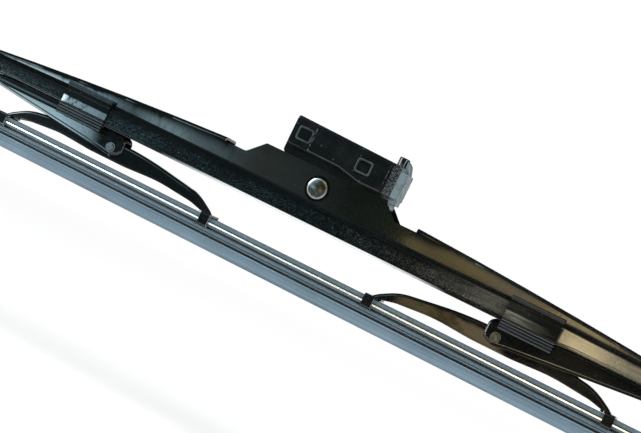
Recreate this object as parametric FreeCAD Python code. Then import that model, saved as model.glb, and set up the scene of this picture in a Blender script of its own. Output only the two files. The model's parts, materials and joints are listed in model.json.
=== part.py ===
import FreeCAD, Part
import os
from math import sin, tan

# A framed windscreen wiper blade, 650 mm long. One bridge carries two levers, each lever
# carries two yokes, and the eight claws of the yokes hold a rubber strip with two steel
# splines. A plastic adapter on the centre rivet takes the tongue of the wiper arm.
# X runs along the blade, Z is up, and the camera side of the photograph is -Y.
# All heights below are measured from the centre rivet. The finished pieces are moved down
# by seat_z, so that the origin is the middle of the seat that the arm rests on.

Vector = FreeCAD.Vector

# Sheet steel and running gaps
bridge_sheet = 1.0
lever_sheet = 0.85
yoke_sheet = 0.8
body_gap = 0.35
pin_gap = 0.05

# Bridge: a folded channel whose lower part is stepped outwards as a band
bridge_half = 6.4
lever_pivot_x = 177.0
bridge_end_x = lever_pivot_x + 7.0
bridge_top_z = 3.1
bridge_knee_x = 114.4
bridge_knee_z = -0.3
bridge_tip_z = -8.2
bridge_arch_r = 2100.0
bridge_bend_r = 1.5
hump_half_length = 27.4
hump_z = 7.8
shelf_x = 34.2
shelf_z = 1.35
web_cut_x = 44.2
band_step = 0.8
band_z = -6.3
band_tip_z = -8.3
band_knee_x = 110.0
band_edge_r = 0.7
bridge_foot_z = -15.0
bridge_foot_x = 97.0
bridge_rise_x = 119.0
bridge_rise_z = -13.6
bridge_dip_x = 142.0
bridge_lug_x = lever_pivot_x - 9.0
bridge_lug_z = -16.0
bridge_lug_r = 25.0
bridge_tip_r = 4.5
bridge_foot_r = 60.0
rim_height = 1.3
rim_step = 0.4
rim_end_x = 150.0
dimple_r = 5.3
dimple_depth = 0.3

# Levers, one at each end of the bridge
lever_pivot_z = -12.6
lever_half = 4.4
lever_crown_z = -10.0
lever_shoulder_z = -15.15
lever_foot_z = -16.7
lever_eye_r = 3.3
lever_nose = 5.2
lever_bend_r = 1.3
lever_nose_r = 3.2
lever_slot_z = -17.45
lever_bead_height = 0.9
lever_bead_step = 0.15
lever_crown_x = 12.0
lever_crown_r = 150.0
lever_hub_x = 7.0
lever_hub_r = 20.0
lever_ankle_back = 5.0
lever_ankle_rise = 0.9
lever_ankle_r = 25.0
lever_toe_r = 3.0

# Yokes, two on each lever
yoke_reach = 87.3
yoke_pivot_z = -21.8
yoke_half = 3.0
yoke_crown_z = -18.5
yoke_hub_foot_z = -26.7
yoke_arch_z = -25.7
yoke_shoulder_z = -22.6
yoke_shoulder_back = 9.4
yoke_wrist_back = 1.9
yoke_wrist_drop = 4.3
yoke_bend_r = 1.2
yoke_bead_height = 0.8
yoke_bead_step = 0.2
claw_reach = 51.4
yoke_crown_x = 0.27 * claw_reach
yoke_crown_r = 3.1 * claw_reach
yoke_shoulder_r = 24.0
yoke_wrist_r = 6.0
yoke_hub_x = 0.17 * claw_reach
yoke_hub_r = 40.0
yoke_arch_x = 0.49 * claw_reach
yoke_arch_r = 70.0
yoke_ankle_back = 3.6
yoke_ankle_drop = 1.5
yoke_ankle_r = 18.0
claw_length = 4.2
claw_lip = 1.7
claw_lip_sheet = 0.5
claw_corner_r = 0.7
claw_side_gap = 0.3
claw_flare_length = 2.3

# Rubber strip and its steel splines
rubber_overhang = 9.3
rubber_half_length = lever_pivot_x + yoke_reach + claw_reach + rubber_overhang
rubber_top_z = -29.5
rubber_flange_half = 4.2
rubber_flange = 1.7
spline_slot = 1.05
spline_core_half = 1.6
keeper_flange = 0.8
keeper_half = 4.0
claw_groove = 0.95
groove_core_half = 2.2
body_flange = 1.25
body_half = 3.9
bead_notch = 0.35
bead_notch_depth = 0.35
bead_height = 0.55
neck_height = 0.95
neck_half = 0.7
shoulder_height = 0.75
shoulder_half = 3.3
lip_height = 4.45
lip_root_half = 1.9
lip_edge_half = 0.35
spline_thickness = 0.85
spline_proud = 0.15
spline_inset = 3.0

# Guide clips that line the channel and wrap the band on both sides
clip_length = 22.0
left_clip_x = -95.7
right_clip_x = 89.4
clip_wall = 0.7
liner_wall = 0.55
liner_top_z = -3.0
clip_rail_top_z = -4.0
clip_rail_height = 1.5
clip_rail = 0.6
clip_groove_height = 1.8
clip_groove_depth = 0.3
clip_lower_rail_z = -12.9
clip_foot_z = -18.0
fine_flute_pitch = 0.85
wide_flute_pitch = 1.7
flute_depth = 0.3

# Rivets
centre_rivet_r = 3.0
centre_head_r = 4.2
centre_head_height = 1.3
lever_rivet_r = 2.0
lever_head_r = 2.9
yoke_rivet_r = 1.7
yoke_head_r = 2.15
small_head_height = 0.7
small_head_edge_r = 0.2
head_collar = 0.45
head_collar_drop = 0.35
head_dimple_r = 0.6
head_dimple_depth = 0.25
bush_r = 3.4

# Adapter: carrier on the rivet, cover with the arm socket, nose piece and release button
seat_z = 12.8
carrier_half = 5.05
carrier_left_x = -20.6
carrier_hub_r = 5.0
carrier_shoulder_z = 8.6
cover_half = 7.0
cover_left_x = -20.2
cover_right_x = 28.3
cover_left_top_z = 23.9
cover_right_top_z = 22.2
cover_left_foot_z = 11.9
cover_middle_foot_z = 11.3
cover_right_foot_z = 9.1
cover_edge_r = 1.1
socket_half = 5.1
socket_height = 7.0
socket_end_x = 21.5
carrier_right_x = socket_end_x
carrier_toe_x = 27.0
carrier_toe_gap = 0.05
pad_end_x = -10.4
pad_step = 0.3
frame_width = 6.8
frame_height = 5.8
frame_rim = 0.6
frame_proud = 0.25
frame_recess = 0.4
left_frame_x = -14.3
right_frame_x = 13.6
left_frame_z = 17.4
right_frame_z = 15.7
rib_x = 23.6
rib_width = 0.7
rib_proud = 0.3
nose_reach = 2.7
nose_top_reach = 0.9
nose_split_z = 20.4
nose_top_z = 22.0
nose_waist_z = 9.3
nose_waist_half = 5.0
nose_heel_z = 7.2
nose_foot_z = 4.7
nose_foot_reach = 1.1
nose_foot_half = 4.7
nose_slot_width = 0.9
nose_slot_height = 2.0
nose_slot_y = 4.1
nose_slot_z = 15.1
guard_half = 2.4
guard_top_z = 25.4
guard_reach = 2.5
button_x = 25.7
button_r = 2.2
button_top_z = 26.1
button_waist_r = 1.2
button_waist_top_z = 20.4
button_waist_foot_z = 18.0
button_foot_z = 12.4
button_travel = 2.0


def outline(corners, to_space):
    """Closed wire through the corners (a, b, radius), rounded by tangent arcs."""
    stretches = []
    for index, (a, b, radius) in enumerate(corners):
        here = Vector(a, b, 0)
        before = Vector(corners[index - 1][0], corners[index - 1][1], 0)
        following = corners[(index + 1) % len(corners)]
        after = Vector(following[0], following[1], 0)
        towards_before = (before - here).normalize()
        towards_after = (after - here).normalize()
        if radius == 0:
            stretches.append((here, None, here))
            continue
        half_angle = towards_before.getAngle(towards_after) / 2
        reach = radius / tan(half_angle)
        bisector = (towards_before + towards_after).normalize()
        middle = here + bisector * (radius / sin(half_angle) - radius)
        stretches.append((here + towards_before * reach, middle, here + towards_after * reach))
    edges = []
    for index, (start, middle, end) in enumerate(stretches):
        previous_end = stretches[index - 1][2]
        if (start - previous_end).Length > 1e-6:
            edges.append(Part.LineSegment(to_space(previous_end), to_space(start)).toShape())
        if middle is not None:
            edges.append(Part.Arc(to_space(start), to_space(middle), to_space(end)).toShape())
    return Part.Wire(edges)


def side_solid(corners, y_from, y_to):
    """Outline in X and Z, as thick as from y_from to y_to."""
    wire = outline(corners, lambda p: Vector(p.x, y_from, p.y))
    return Part.Face(wire).extrude(Vector(0, y_to - y_from, 0))


def end_solid(corners, x_from, x_to):
    """Outline in Y and Z, as long as from x_from to x_to."""
    wire = outline(corners, lambda p: Vector(x_from, p.x, p.y))
    return Part.Face(wire).extrude(Vector(x_to - x_from, 0, 0))


def plan_solid(corners, z_from, z_to):
    """Outline in X and Y, as high as from z_from to z_to."""
    wire = outline(corners, lambda p: Vector(p.x, p.y, z_from))
    return Part.Face(wire).extrude(Vector(0, 0, z_to - z_from))


def box(x_from, x_to, y_from, y_to, z_from, z_to):
    size = (x_to - x_from, y_to - y_from, z_to - z_from)
    return Part.makeBox(*size, Vector(x_from, y_from, z_from))


def cross_pin(radius, x, z, y_from, y_to):
    return Part.makeCylinder(radius, y_to - y_from, Vector(x, y_from, z), Vector(0, 1, 0))


def mirror_x(shape):
    return shape.mirror(Vector(0, 0, 0), Vector(1, 0, 0))


def mirror_y(shape):
    return shape.mirror(Vector(0, 0, 0), Vector(0, 1, 0))


def join(shapes):
    first, rest = shapes[0], shapes[1:]
    return first.fuse(rest).removeSplitter()


def round_edges(shape, radius, chosen):
    """Fillet the edges whose middle point passes the test."""
    edges = []
    for edge in shape.Edges:
        middle = edge.valueAt((edge.FirstParameter + edge.LastParameter) / 2)
        if chosen(middle):
            edges.append(edge)
    return shape.makeFillet(radius, edges)


def both_ways(half_corners):
    """Corners on the +X side, from the middle outwards, mirrored to run right across."""
    left = [(-a, b, radius) for a, b, radius in reversed(half_corners)]
    return left + half_corners


def lowered(corners, drop):
    return [(a, b - drop, radius) for a, b, radius in corners]


def height_at(corners, x):
    """Height at x of the straight stretches through the corners, which run towards +X."""
    for (a, b, _), (c, d, _) in zip(corners, corners[1:]):
        if a <= x <= c:
            return b + (d - b) * (x - a) / (c - a)
    return corners[-1][1]


# The outlines of the bridge, each from the middle outwards on the +X side

def bridge_top_line():
    return [
        (web_cut_x, bridge_top_z, 0),
        (bridge_knee_x, bridge_knee_z, bridge_arch_r),
        (bridge_end_x, bridge_tip_z, 0),
    ]


def band_line():
    return [(band_knee_x, band_z, bridge_arch_r), (bridge_end_x, band_tip_z, 0)]


def foot_line():
    return [
        (bridge_foot_x, bridge_foot_z, bridge_foot_r),
        (bridge_rise_x, bridge_rise_z, bridge_foot_r),
        (bridge_dip_x, bridge_rise_z, bridge_foot_r),
        (bridge_lug_x, bridge_lug_z, bridge_lug_r),
        (bridge_end_x, bridge_lug_z, bridge_tip_r),
    ]


def upper_channel():
    """Folded part above the band, from the end of the cut-away web to the tip."""
    deep_z = bridge_lug_z
    top = bridge_top_line()
    outside = side_solid(
        top + [(bridge_end_x, deep_z, 0), (web_cut_x, deep_z, 0)], -bridge_half, bridge_half)

    def on_top_edge(p):
        clear_of_ends = web_cut_x + 1 < p.x < bridge_end_x - 1
        return clear_of_ends and abs(abs(p.y) - bridge_half) < 0.01 and p.z > deep_z + 1

    outside = round_edges(outside, bridge_bend_r, on_top_edge)
    hollow_half = bridge_half - bridge_sheet
    hollow = side_solid(
        lowered(top, bridge_sheet) + [(bridge_end_x, deep_z, 0), (web_cut_x, deep_z, 0)],
        -hollow_half, hollow_half)
    below_band = side_solid(
        lowered([(web_cut_x, band_z, 0)] + band_line(), bridge_sheet)
        + [(bridge_end_x, deep_z, 0), (web_cut_x, deep_z, 0)],
        -bridge_half, bridge_half)
    return outside.cut([hollow, below_band])


def hump_wall():
    """One side wall under the adapter, with the hump and the shelf where the web is cut."""
    half = [
        (hump_half_length, hump_z, 1.6),
        (shelf_x, shelf_z, 2.2),
        (web_cut_x, shelf_z, 0),
    ]
    foot = [(-web_cut_x, band_z - bridge_sheet, 0), (web_cut_x, band_z - bridge_sheet, 0)]
    corners = both_ways(half) + list(reversed(foot))
    return side_solid(corners, bridge_half - bridge_sheet, bridge_half)


def band():
    """Lower part of both walls, stepped outwards, with the ledge that joins it on."""
    outer_half = bridge_half + band_step
    outer = side_solid(
        both_ways(band_line()) + list(reversed(both_ways(foot_line()))), -outer_half, outer_half)

    def on_ledge_edge(p):
        on_side = abs(abs(p.y) - outer_half) < 0.01
        return on_side and p.z > band_tip_z and abs(p.x) < bridge_end_x - 1

    outer = round_edges(outer, band_edge_r, on_ledge_edge)
    hollow_half = outer_half - bridge_sheet
    far_x = bridge_end_x + 1
    hollow = side_solid(
        both_ways(lowered([(band_knee_x, band_z, bridge_arch_r), (far_x, band_tip_z, 0)], bridge_sheet))
        + [(far_x, bridge_lug_z - 1, 0), (-far_x, bridge_lug_z - 1, 0)],
        -hollow_half, hollow_half)
    throat_half = bridge_half - bridge_sheet
    throat = box(-far_x, far_x, -throat_half, throat_half, bridge_lug_z - 1, band_z + 1)
    return outer.cut([hollow, throat])


def rim():
    """Rolled hem along the foot of one wall."""
    lower = both_ways([
        (bridge_foot_x, bridge_foot_z, bridge_foot_r),
        (bridge_rise_x, bridge_rise_z, bridge_foot_r),
        (rim_end_x, bridge_rise_z, 0),
    ])
    upper = list(reversed(lowered(lower, -rim_height)))
    inner_y = bridge_half + band_step - bridge_sheet
    outer_y = bridge_half + band_step + rim_step
    strip = side_solid(lower + upper, inner_y, outer_y)

    def on_outer_edge(p):
        return abs(p.y - outer_y) < 0.01 and abs(p.x) < rim_end_x - 0.01

    return round_edges(strip, rim_step * 0.9, on_outer_edge)


def main_bridge():
    upper = upper_channel()
    wall = hump_wall()
    hem = rim()
    shape = join([upper, mirror_x(upper), wall, mirror_y(wall), band(), hem, mirror_y(hem)])
    reach = bridge_half + band_step + 1
    holes = [cross_pin(centre_rivet_r, 0, 0, -reach, reach)]
    for side in (-1, 1):
        holes.append(cross_pin(lever_rivet_r, side * lever_pivot_x, lever_pivot_z, -reach, reach))
        dimple_start = min(side * bridge_half, side * (bridge_half - dimple_depth))
        holes.append(cross_pin(dimple_r, 0, 0, dimple_start, dimple_start + dimple_depth))
    return shape.cut(holes)


def domed_head(radius, height, edge_y, outward):
    """Shallow dome on the XZ plane at edge_y, standing outward (+1 or -1) along Y."""
    ball_r = (radius ** 2 + height ** 2) / (2 * height)
    ball = Part.makeSphere(ball_r, Vector(0, edge_y + outward * (height - ball_r), 0))
    start = min(edge_y, edge_y + outward * height)
    return ball.common(cross_pin(radius, 0, 0, start, start + height))


def centre_rivet():
    seat_y = bridge_half - dimple_depth
    shaft = cross_pin(centre_rivet_r, 0, 0, -seat_y, seat_y)
    rim_band = 0.4
    pieces = [shaft]
    for outward in (-1, 1):
        edge_y = outward * (seat_y + rim_band)
        start = min(outward * seat_y, edge_y)
        pieces.append(cross_pin(centre_head_r, 0, 0, start, start + rim_band))
        pieces.append(domed_head(centre_head_r, centre_head_height - rim_band, edge_y, outward))
    return join(pieces)


def small_rivet(shaft_r, head_r, wall_y):
    """Rivet through a channel whose outer faces are at +-wall_y, with stepped, dimpled heads."""
    shape = cross_pin(shaft_r, 0, 0, -wall_y, wall_y)
    collar_height = small_head_height - head_collar_drop
    for outward in (-1, 1):
        collar_start = min(outward * wall_y, outward * (wall_y + collar_height))
        head_start = min(outward * wall_y, outward * (wall_y + small_head_height))
        outer_y = outward * (wall_y + small_head_height)
        head = cross_pin(head_r - head_collar, 0, 0, head_start, head_start + small_head_height)
        head = round_edges(head, small_head_edge_r, lambda p: abs(p.y - outer_y) < 0.01)
        collar = cross_pin(head_r, 0, 0, collar_start, collar_start + collar_height)
        dimple_y = min(outer_y, outer_y - outward * head_dimple_depth)
        dimple = cross_pin(head_dimple_r, 0, 0, dimple_y, dimple_y + head_dimple_depth)
        shape = shape.fuse([collar, head]).cut(dimple)
    return shape.removeSplitter()


def lever_bush():
    """Plastic ring on the lever rivet, between the lever and the wall of the bridge."""
    outer_y = bridge_half + band_step - bridge_sheet
    inner_y = lever_half + body_gap
    ring = cross_pin(bush_r, 0, 0, inner_y, outer_y)
    return ring.cut(cross_pin(lever_rivet_r, 0, 0, inner_y, outer_y))


def foot_bead(foot_half, height, inner_y, outer_y):
    """Strip along the foot of one wall that stands out a little, with its outer edges rounded."""
    line = both_ways(foot_half)
    strip = side_solid(line + list(reversed(lowered(line, -height))), inner_y, outer_y)
    end_x = foot_half[-1][0]

    def on_outer_edge(p):
        return abs(p.y - outer_y) < 0.01 and abs(p.x) < end_x - 0.01

    return round_edges(strip, 0.12, on_outer_edge)


# Lever, drawn about its own pivot at x = 0

def lever():
    end_x = yoke_reach + lever_nose
    top = both_ways([
        (lever_crown_x, lever_crown_z, lever_crown_r),
        (end_x, lever_shoulder_z, lever_nose_r),
    ])
    eye_x = yoke_reach + 0.5
    eye_foot_z = yoke_pivot_z - lever_eye_r
    foot_half = [
        (lever_hub_x, lever_foot_z, lever_hub_r),
        (yoke_reach - lever_ankle_back, eye_foot_z + lever_ankle_rise, lever_ankle_r),
    ]
    toe = [(eye_x, eye_foot_z, lever_toe_r), (end_x, yoke_pivot_z - lever_eye_r / 2, lever_toe_r - 0.5)]
    foot = both_ways(foot_half + toe)
    outer = side_solid(top + list(reversed(foot)), -lever_half, lever_half)

    def on_top_edge(p):
        near_top = p.z > height_at(top, p.x) - lever_bend_r
        return abs(abs(p.y) - lever_half) < 0.01 and near_top and abs(p.x) < end_x - 0.01

    outer = round_edges(outer, lever_bend_r, on_top_edge)
    hollow_half = lever_half - lever_sheet
    hollow = side_solid(
        both_ways([
            (lever_crown_x, lever_crown_z - lever_sheet, lever_crown_r),
            (end_x - lever_sheet, lever_shoulder_z - lever_sheet, lever_nose_r - lever_sheet),
            (end_x - lever_sheet, yoke_hub_foot_z, 0),
        ]),
        -hollow_half, hollow_half)
    slot = box(-end_x - 1, end_x + 1, -hollow_half, hollow_half, yoke_hub_foot_z, lever_slot_z)
    holes = [hollow, slot, cross_pin(lever_rivet_r + pin_gap, 0, lever_pivot_z, -lever_half, lever_half)]
    for side in (-1, 1):
        holes.append(cross_pin(yoke_rivet_r, side * yoke_reach, yoke_pivot_z, -lever_half, lever_half))
    bead = foot_bead(foot_half + [(eye_x, eye_foot_z, 0)], lever_bead_height,
                     lever_half - lever_sheet, lever_half + lever_bead_step)
    return join([outer.cut(holes), bead, mirror_y(bead)])


# Yoke, drawn about its own pivot at x = 0

def claw():
    """Claw at the +X end: a bent strip over the rubber's flange, with lips in its groove."""
    inner_half = rubber_flange_half + spline_proud + claw_side_gap
    outer_half = inner_half + yoke_sheet
    top_z = rubber_top_z + body_gap + yoke_sheet
    inner_top_z = rubber_top_z + body_gap
    groove_top_z = rubber_top_z - rubber_flange - spline_slot - keeper_flange
    lip_top_z = groove_top_z - (claw_groove - claw_lip_sheet) / 2
    lip_foot_z = lip_top_z - claw_lip_sheet
    lip_y = inner_half - claw_lip
    half = [
        (outer_half, top_z, claw_corner_r),
        (outer_half, lip_foot_z, claw_corner_r),
        (lip_y, lip_foot_z, 0),
        (lip_y, lip_top_z, 0),
        (inner_half, lip_top_z, 0),
        (inner_half, inner_top_z, 0),
    ]
    other = [(-a, b, radius) for a, b, radius in reversed(half)]
    start = claw_reach - claw_length / 2
    return end_solid(half + other, start, start + claw_length)


def claw_flare():
    """Plate that widens from the arm to the claw."""
    claw_half = rubber_flange_half + spline_proud + claw_side_gap + yoke_sheet
    start = claw_reach - claw_length / 2
    plate_z = rubber_top_z + body_gap
    arm_x = start - claw_flare_length
    half = [
        (arm_x, yoke_half - 0.4, 0),
        (start - 0.5, yoke_half + 0.3, 1.2),
        (start, claw_half - claw_corner_r, 0),
        (start + 0.5, claw_half - claw_corner_r, 0),
    ]
    other = [(a, -b, radius) for a, b, radius in reversed(half)]
    return plan_solid(half + other, plate_z, plate_z + yoke_sheet)


def yoke():
    claw_top_z = rubber_top_z + body_gap + yoke_sheet
    tip_x = claw_reach + 0.2
    shoulder_x = claw_reach - yoke_shoulder_back
    wrist_x = claw_reach - yoke_wrist_back
    wrist_z = yoke_shoulder_z - yoke_wrist_drop
    top = both_ways([
        (yoke_crown_x, yoke_crown_z, yoke_crown_r),
        (shoulder_x, yoke_shoulder_z, yoke_shoulder_r),
        (wrist_x, wrist_z, yoke_wrist_r),
        (tip_x, claw_top_z - 0.2, 0),
    ])
    foot_half = [
        (yoke_hub_x, yoke_hub_foot_z, yoke_hub_r),
        (yoke_arch_x, yoke_arch_z, yoke_arch_r),
        (shoulder_x, yoke_arch_z - yoke_ankle_drop, yoke_ankle_r),
        (claw_reach - yoke_ankle_back, claw_top_z - 0.2, 0),
    ]
    outer = side_solid(top + list(reversed(both_ways(foot_half))), -yoke_half, yoke_half)

    def on_top_edge(p):
        near_top = p.z > height_at(top, p.x) - yoke_bend_r
        return abs(abs(p.y) - yoke_half) < 0.01 and near_top and abs(p.x) < tip_x - 0.05

    outer = round_edges(outer, yoke_bend_r, on_top_edge)
    hollow_half = yoke_half - yoke_sheet
    hollow = side_solid(
        both_ways([
            (yoke_crown_x, yoke_crown_z - yoke_sheet, yoke_crown_r),
            (shoulder_x - 0.4, yoke_shoulder_z - yoke_sheet, yoke_shoulder_r),
            (wrist_x - 1.0, wrist_z - 0.2, yoke_wrist_r - 0.5),
            (wrist_x, claw_top_z - 0.3, 0),
        ]),
        -hollow_half, hollow_half)
    bead = foot_bead(foot_half, yoke_bead_height, yoke_half - yoke_sheet, yoke_half + yoke_bead_step)
    pieces = [outer.cut(hollow), bead, mirror_y(bead)]
    for shape in (claw(), claw_flare()):
        pieces.append(shape)
        pieces.append(mirror_x(shape))
    shape = join(pieces)
    reach = yoke_half + 1
    return shape.cut(cross_pin(yoke_rivet_r + pin_gap, 0, yoke_pivot_z, -reach, reach))


def wiping_rubber():
    """Squeegee section: flanges for splines and claws, thin neck, tapered lip."""
    slot_z = rubber_top_z - rubber_flange
    keeper_z = slot_z - spline_slot
    groove_z = keeper_z - keeper_flange
    body_z = groove_z - claw_groove
    notch_z = body_z - body_flange
    bead_z = notch_z - bead_notch
    neck_z = bead_z - bead_height
    shoulder_z = neck_z - neck_height
    lip_z = shoulder_z - shoulder_height
    edge_z = lip_z - lip_height
    half = [
        (rubber_flange_half, rubber_top_z, 0.25),
        (rubber_flange_half, slot_z, 0.15),
        (spline_core_half, slot_z, 0),
        (spline_core_half, keeper_z, 0),
        (keeper_half, keeper_z, 0.15),
        (keeper_half, groove_z, 0.15),
        (groove_core_half, groove_z, 0),
        (groove_core_half, body_z, 0),
        (body_half, body_z, 0.2),
        (body_half, notch_z, 0.1),
        (body_half - bead_notch_depth, notch_z - bead_notch / 2, 0),
        (body_half, bead_z, 0.1),
        (body_half, neck_z, 0.2),
        (neck_half, neck_z, 0.25),
        (neck_half, shoulder_z, 0.25),
        (shoulder_half, shoulder_z, 0.2),
        (shoulder_half, lip_z + 0.25, 0.15),
        (lip_root_half, lip_z, 0.3),
        (lip_edge_half, edge_z, 0),
    ]
    other = [(-a, b, radius) for a, b, radius in reversed(half)]
    return end_solid(half + other, -rubber_half_length, rubber_half_length)


def front_spline():
    slack = (spline_slot - spline_thickness) / 2
    top_z = rubber_top_z - rubber_flange - slack
    outer_y = -(rubber_flange_half + spline_proud)
    reach = rubber_half_length - spline_inset
    corners = [
        (outer_y, top_z, 0.2),
        (-(spline_core_half + slack), top_z, 0),
        (-(spline_core_half + slack), top_z - spline_thickness, 0),
        (outer_y, top_z - spline_thickness, 0.2),
    ]
    return end_solid(corners, -reach, reach)


def clip_side():
    """Section of the guide clip on the +Y side: outer plate, rails, foot and inner liner."""
    wall_y = bridge_half + band_step
    plate_in = wall_y + rim_step + 0.05
    plate_out = plate_in + clip_wall
    rail_out = plate_out + clip_rail
    upper_wall_y = bridge_half + 0.08
    ledge_z = band_z + 0.08
    foot_top_z = bridge_foot_z - 0.08
    liner_out = wall_y - bridge_sheet - 0.08
    throat_out = bridge_half - bridge_sheet - 0.08
    throat_in = throat_out - liner_wall
    leg_in = liner_out - liner_wall
    throat_z = band_z - bridge_sheet - 0.6
    corners = [
        (0, liner_top_z, 0),
        (throat_out, liner_top_z, 0.5),
        (throat_out, throat_z, 0),
        (liner_out, throat_z, 0),
        (liner_out, foot_top_z, 0),
        (plate_in, foot_top_z, 0),
        (plate_in, ledge_z, 0),
        (upper_wall_y, ledge_z, 0),
        (upper_wall_y, clip_rail_top_z, 0.2),
    ]
    rail_foot_z = clip_rail_top_z - clip_rail_height
    groove_foot_z = rail_foot_z - clip_groove_height
    groove_y = plate_out - clip_groove_depth
    wide_flutes_z = clip_lower_rail_z - 2 * fine_flute_pitch
    corners += [
        (rail_out, clip_rail_top_z, 0.35),
        (rail_out, rail_foot_z, 0.2),
        (groove_y, rail_foot_z - 0.15, 0),
        (groove_y, groove_foot_z, 0),
        (plate_out, groove_foot_z - 0.15, 0.2),
        (plate_out, clip_lower_rail_z, 0),
    ]
    corners += flutes(plate_out + 0.2, clip_lower_rail_z - 0.15, fine_flute_pitch, 2)
    corners += flutes(rail_out, wide_flutes_z - 0.3, wide_flute_pitch, 2)
    corners += [
        (plate_out, clip_foot_z, 0.2),
        (plate_in, clip_foot_z, 0),
        (plate_in, foot_top_z - clip_wall, 0.3),
        (leg_in, foot_top_z - clip_wall, 0.3),
        (leg_in, throat_z - liner_wall, 0.3),
        (throat_in, throat_z - liner_wall, 0.2),
        (throat_in, liner_top_z - liner_wall, 0.4),
        (0, liner_top_z - liner_wall, 0),
    ]
    return corners


def flutes(face_y, top_z, pitch, count):
    """Rounded ridges one below the other on a rail, from top_z downwards."""
    corners = []
    for index in range(count):
        ridge_z = top_z - index * pitch
        corners.append((face_y, ridge_z, 0.2))
        corners.append((face_y, ridge_z - pitch + 0.25, 0.2))
        corners.append((face_y - flute_depth, ridge_z - pitch + 0.1, 0))
    return corners


def guide_clip(x_from):
    right = clip_side()
    left = [(-a, b, radius) for a, b, radius in reversed(right)]
    return end_solid(right[1:-1] + left[1:-1], x_from, x_from + clip_length)


def adapter_carrier():
    """Block that turns on the centre rivet between the bridge walls and carries the cover."""
    corners = [
        (carrier_left_x, seat_z, 0),
        (carrier_left_x, carrier_shoulder_z, 1.5),
        (-12.0, carrier_shoulder_z - 7.0, 4.0),
        (-carrier_hub_r, -carrier_hub_r, 4.4),
        (carrier_hub_r, -carrier_hub_r, 4.4),
        (14.0, carrier_shoulder_z - 7.0, 4.0),
        (carrier_toe_x, carrier_shoulder_z - 1.0, 0.8),
        (carrier_toe_x, cover_right_foot_z - carrier_toe_gap, 0),
        (carrier_right_x, cover_right_foot_z - carrier_toe_gap, 0),
        (carrier_right_x, seat_z, 0),
    ]
    block = side_solid(corners, -carrier_half, carrier_half)
    bore = cross_pin(centre_rivet_r + pin_gap, 0, 0, -carrier_half, carrier_half)
    return block.cut(bore)


def raised_frame(centre_x, centre_z):
    """Rounded rectangular rim on the -Y side of the cover, and the recess inside it."""
    half_w = frame_width / 2
    half_h = frame_height / 2
    outer = [
        (centre_x - half_w, centre_z - half_h, 1.2),
        (centre_x + half_w, centre_z - half_h, 1.2),
        (centre_x + half_w, centre_z + half_h, 1.2),
        (centre_x - half_w, centre_z + half_h, 1.2),
    ]
    inner_w = half_w - frame_rim
    inner_h = half_h - frame_rim
    inner = [
        (centre_x - inner_w, centre_z - inner_h, 0.7),
        (centre_x + inner_w, centre_z - inner_h, 0.7),
        (centre_x + inner_w, centre_z + inner_h, 0.7),
        (centre_x - inner_w, centre_z + inner_h, 0.7),
    ]
    face_y = -cover_half
    rim_solid = side_solid(outer, face_y - frame_proud - pad_step, face_y + 0.5)
    recess = side_solid(inner, face_y - frame_proud - pad_step - 1, face_y + frame_recess)
    return rim_solid, recess


def adapter_cover():
    """Box that is open at the left end, where the tongue of the arm slides in."""
    bulge_x = 10.0
    corners = [
        (cover_left_x, cover_left_top_z, 1.0),
        (cover_left_x, cover_left_foot_z, 1.0),
        (4.0, cover_middle_foot_z, 12.0),
        (bulge_x + 4.0, cover_right_foot_z, 8.0),
        (cover_right_x, cover_right_foot_z, 0),
        (cover_right_x, cover_right_top_z, 0),
    ]
    block = side_solid(corners, -cover_half, cover_half)

    def on_top_edge(p):
        return abs(abs(p.y) - cover_half) < 0.01 and p.z > cover_right_top_z - 0.01 and p.x > cover_left_x + 0.5

    block = round_edges(block, cover_edge_r * 0.7, on_top_edge)
    pad = side_solid(
        [
            (cover_left_x + 0.4, cover_left_top_z - 1.2, 0.6),
            (cover_left_x + 0.4, cover_left_foot_z + 0.4, 0.6),
            (pad_end_x, cover_middle_foot_z + 0.55, 0),
            (pad_end_x, cover_left_top_z - 1.6, 0),
        ],
        -cover_half - pad_step, -cover_half + 0.5)
    rib = box(rib_x, rib_x + rib_width, -cover_half - rib_proud, -cover_half + 0.5,
              cover_right_foot_z + 0.2, cover_right_top_z - 1.6)
    raised = [pad, rib]
    recesses = []
    for centre_x, centre_z in ((left_frame_x, left_frame_z), (right_frame_x, right_frame_z)):
        rim_solid, recess = raised_frame(centre_x, centre_z)
        raised.append(rim_solid)
        recesses.append(recess)
    shape = join([block] + raised + [mirror_y(piece) for piece in raised])
    socket = box(cover_left_x - 1, socket_end_x, -socket_half, socket_half,
                 seat_z, seat_z + socket_height)
    opening = box(carrier_left_x - 1, carrier_right_x + 0.1, -carrier_half - 0.05,
                  carrier_half + 0.05, 0, seat_z)
    shaft_foot_z = button_foot_z - button_travel - 0.1
    shaft = Part.makeCylinder(button_r + pin_gap, button_top_z, Vector(button_x, 0, shaft_foot_z))
    return shape.cut([socket, opening, shaft] + recesses + [mirror_y(piece) for piece in recesses])


def nose_plan(reach, half):
    """Plan of the nose: flat against the cover, rounded in front."""
    return [
        (cover_right_x, -half, 0),
        (cover_right_x + reach, -half * 0.8, reach * 0.8),
        (cover_right_x + reach, half * 0.8, reach * 0.8),
        (cover_right_x, half, 0),
    ]


def button_guard():
    """Horn on top of the nose, in front of the button."""
    back_x = button_x + button_r + pin_gap
    sill_z = cover_right_top_z + 0.05
    corners = [
        (cover_right_x, nose_split_z, 0),
        (cover_right_x, sill_z, 0),
        (back_x, sill_z, 0),
        (back_x, guard_top_z, 0),
        (back_x + 1.6, guard_top_z - 1.2, 2.5),
        (cover_right_x + guard_reach, nose_split_z, 0),
    ]
    horn = side_solid(corners, -guard_half, guard_half)

    def on_front_edge(p):
        return p.x > back_x + 0.1 and p.z > sill_z - 0.5 and abs(abs(p.y) - guard_half) < 0.01

    return round_edges(horn, 0.7, on_front_edge)


def on_front(p, z):
    return p.x > cover_right_x + 0.1 and abs(p.z - z) < 0.01


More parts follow.
